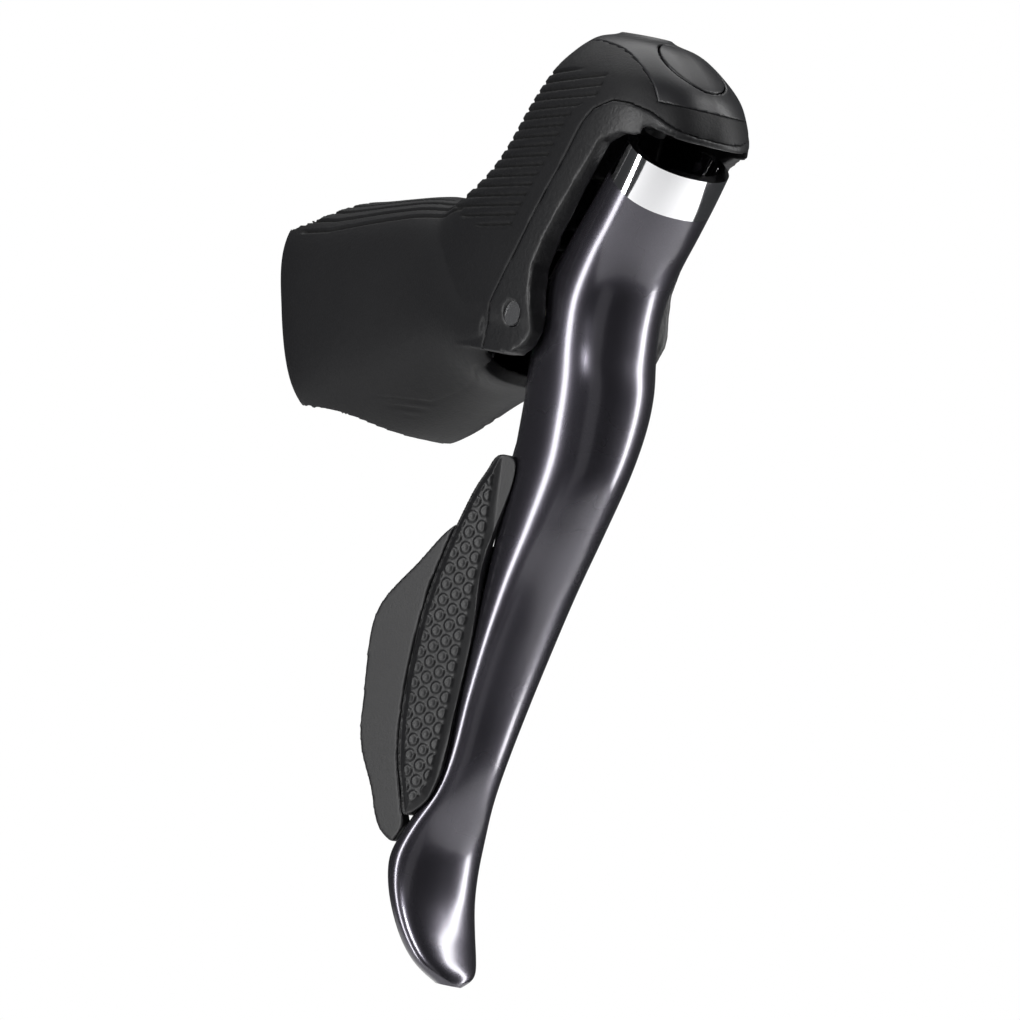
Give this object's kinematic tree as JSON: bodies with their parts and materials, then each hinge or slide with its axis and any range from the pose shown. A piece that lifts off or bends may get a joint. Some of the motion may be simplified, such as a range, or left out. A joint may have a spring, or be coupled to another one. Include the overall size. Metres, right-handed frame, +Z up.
{
  "type": "brake shift lever",
  "caption": "Right-hand drop-bar control lever with rubber hood, swinging brake blade, two shift paddles, horn button and handlebar clamp.",
  "frame": {"origin": "centre of the handlebar clamp, on the bar's axis", "axes": "+X forward in the riding direction, +Y to the inner side of the bicycle, +Z up; the clamp axis leans back 27 degrees towards its top"},
  "size_m": [0.0997, 0.033, 0.1556],
  "materials": {
    "hood_rubber": "matte",
    "bracket_composite": "satin",
    "cap_plastic": "satin",
    "lever_paint": "gloss",
    "chrome_trim": "polished",
    "paddle_plastic": "satin",
    "steel": "satin",
    "spring_steel": "satin",
    "alloy": "satin",
    "bushing_plastic": "matte",
    "board": "satin",
    "switch_plastic": "matte",
    "seal_rubber": "matte"
  },
  "bodies": {
    "bracket": {"bracket_body": "bracket_composite", "hood_cover": "hood_rubber", "horn_cap": "cap_plastic", "horn_switch": "switch_plastic", "horn_switch_dome": "seal_rubber", "cable_guide": "alloy", "port_plug": "seal_rubber", "battery_tray": "switch_plastic", "coin_cells": "steel", "battery_contact": "spring_steel", "battery_lid": "switch_plastic", "lid_seal": "seal_rubber", "control_board": "board", "board_screws": "steel", "clamp_band": "steel", "clamp_nut": "steel", "clamp_bolt": "steel", "lever_axle": "steel", "axle_screw": "steel", "return_spring": "spring_steel", "reach_screw": "steel"},
    "horn_button": {"function_button": "cap_plastic"},
    "lever": {"brake_lever": "lever_paint", "lever_head_cap": "chrome_trim", "hook_carrier": "alloy", "axle_bushings": "bushing_plastic", "switch_housing": "switch_plastic", "button_pin": "steel", "switch_board": "board", "front_switch": "switch_plastic", "rear_switch": "switch_plastic", "front_button_spring": "spring_steel", "rear_button_spring": "spring_steel"},
    "hook": {"cable_hook": "steel"},
    "front_paddle": {"front_shift_button": "paddle_plastic"},
    "rear_paddle": {"rear_shift_button": "paddle_plastic"}
  },
  "joints": [
    {"name": "brake_pull", "type": "hinge", "parent": "bracket", "child": "lever", "pos_m": [0.06, 0, 0.005], "axis": [0, 1, 0], "range_deg": [0, 22], "stiffness_Nm_per_rad": 0.6, "springref_deg": -14.32},
    {"name": "hook_turn", "type": "hinge", "parent": "lever", "child": "hook", "pos_m": [0.0645, 0, 0.022], "axis": [0, 1, 0], "range_deg": [-22, 0]},
    {"name": "front_paddle_press", "type": "hinge", "parent": "lever", "child": "front_paddle", "pos_m": [0.05639, -0.00609, -0.051], "axis": [0, 0, -1], "range_deg": [0, 3.5], "stiffness_Nm_per_rad": 0.5, "springref_deg": -2.86},
    {"name": "rear_paddle_press", "type": "hinge", "parent": "lever", "child": "rear_paddle", "pos_m": [0.05639, -0.00609, -0.051], "axis": [0, 0, -1], "range_deg": [0, 3.5], "stiffness_Nm_per_rad": 0.5, "springref_deg": -2.86},
    {"name": "horn_button_press", "type": "slide", "parent": "bracket", "child": "horn_button", "axis": [-0.5299, 0, -0.848], "range_m": [0, 0.0005], "stiffness_N_per_m": 600, "springref_m": -0.0005}
  ],
  "couplings": [
    {"joint": "hook_turn", "follows": "brake_pull", "ratio": -1}
  ]
}
